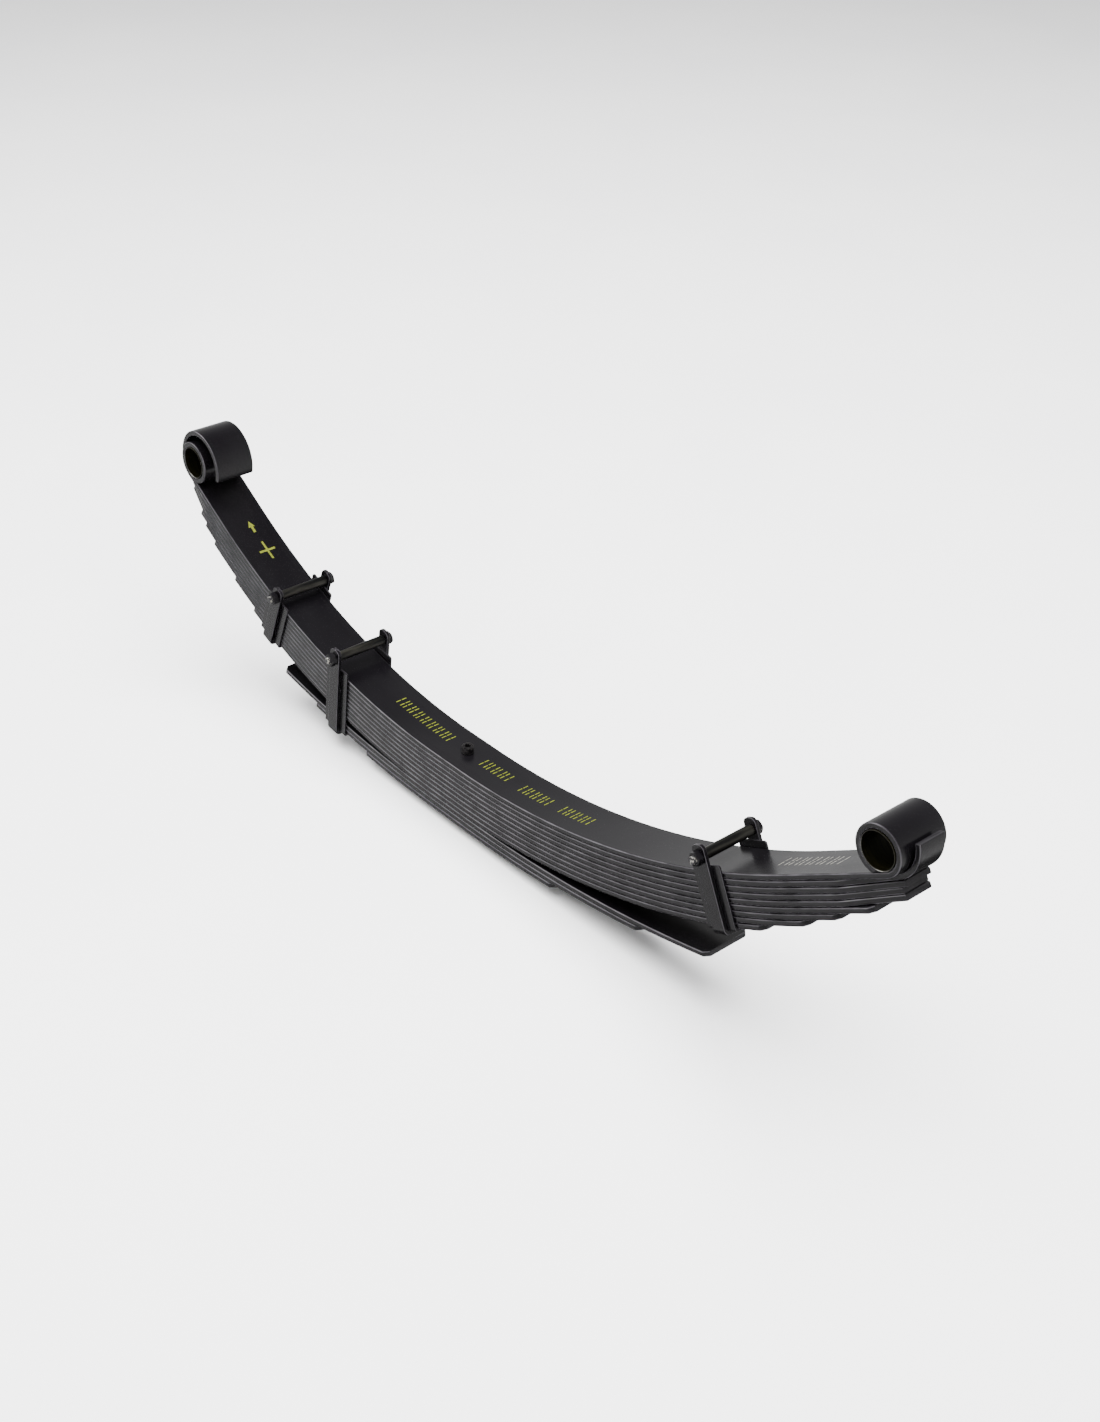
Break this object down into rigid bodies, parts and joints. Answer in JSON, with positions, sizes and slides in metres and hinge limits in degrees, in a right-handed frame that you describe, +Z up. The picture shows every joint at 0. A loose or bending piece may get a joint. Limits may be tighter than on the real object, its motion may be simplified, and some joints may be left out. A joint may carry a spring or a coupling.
{
  "type": "leaf spring",
  "caption": "Cambered automotive leaf spring pack with rolled and wrapped eyes, flatter helper leaves, centre bolt and bolted rebound clips; flexes under load.",
  "frame": {"origin": "centre-bolt axis at the top face of the main leaf, where the axle seat bears", "axes": "+X along the spring towards the rear eye, +Y across the leaves, +Z up out of the pack towards the eyes"},
  "size_m": [1.3603, 0.1056, 0.3897],
  "materials": {
    "spring_paint": "satin black chassis paint",
    "sleeve_steel": "turned steel with an olive passivated tint",
    "black_fastener": "black oxide under paint",
    "clip_tube": "thin worn paint over steel tube",
    "clip_zinc": "zinc plate, partly overpainted"
  },
  "bodies": {
    "front_arm": {"main_leaf_front": "spring_paint", "wrap_leaf_front": "spring_paint", "leaf_3_front": "spring_paint", "leaf_4_front": "spring_paint", "leaf_5_front": "spring_paint", "leaf_6_front": "spring_paint", "leaf_7_front": "spring_paint", "leaf_8_front": "spring_paint", "leaf_9_front": "spring_paint", "helper_leaf_10_front": "spring_paint", "helper_leaf_11_front": "spring_paint", "helper_leaf_12_front": "spring_paint", "front_eye_sleeve": "sleeve_steel", "centre_bolt": "black_fastener", "centre_nut": "black_fastener", "front_clip_strap": "spring_paint", "front_clip_liner": "spring_paint", "front_clip_tube": "clip_tube", "front_clip_bolt": "clip_zinc", "front_clip_nut": "clip_zinc", "front_clip_rivet": "spring_paint", "middle_clip_strap": "spring_paint", "middle_clip_liner": "spring_paint", "middle_clip_tube": "clip_tube", "middle_clip_bolt": "clip_zinc", "middle_clip_nut": "clip_zinc", "middle_clip_rivet": "spring_paint"},
    "rear_arm": {"main_leaf_rear": "spring_paint", "wrap_leaf_rear": "spring_paint", "leaf_3_rear": "spring_paint", "leaf_4_rear": "spring_paint", "leaf_5_rear": "spring_paint", "leaf_6_rear": "spring_paint", "leaf_7_rear": "spring_paint", "leaf_8_rear": "spring_paint", "leaf_9_rear": "spring_paint", "helper_leaf_10_rear": "spring_paint", "helper_leaf_11_rear": "spring_paint", "helper_leaf_12_rear": "spring_paint", "rear_eye_sleeve": "sleeve_steel", "rear_clip_strap": "spring_paint", "rear_clip_liner": "spring_paint", "rear_clip_tube": "clip_tube", "rear_clip_bolt": "clip_zinc", "rear_clip_nut": "clip_zinc", "rear_clip_rivet": "spring_paint"}
  },
  "joints": [
    {"name": "pack_flex", "type": "hinge", "parent": "front_arm", "child": "rear_arm", "pos_m": [0.01381, 0, -0.0909], "axis": [0, 1, 0], "range_deg": [0, 24], "stiffness_Nm_per_rad": 7000, "springref_deg": -1.15}
  ]
}
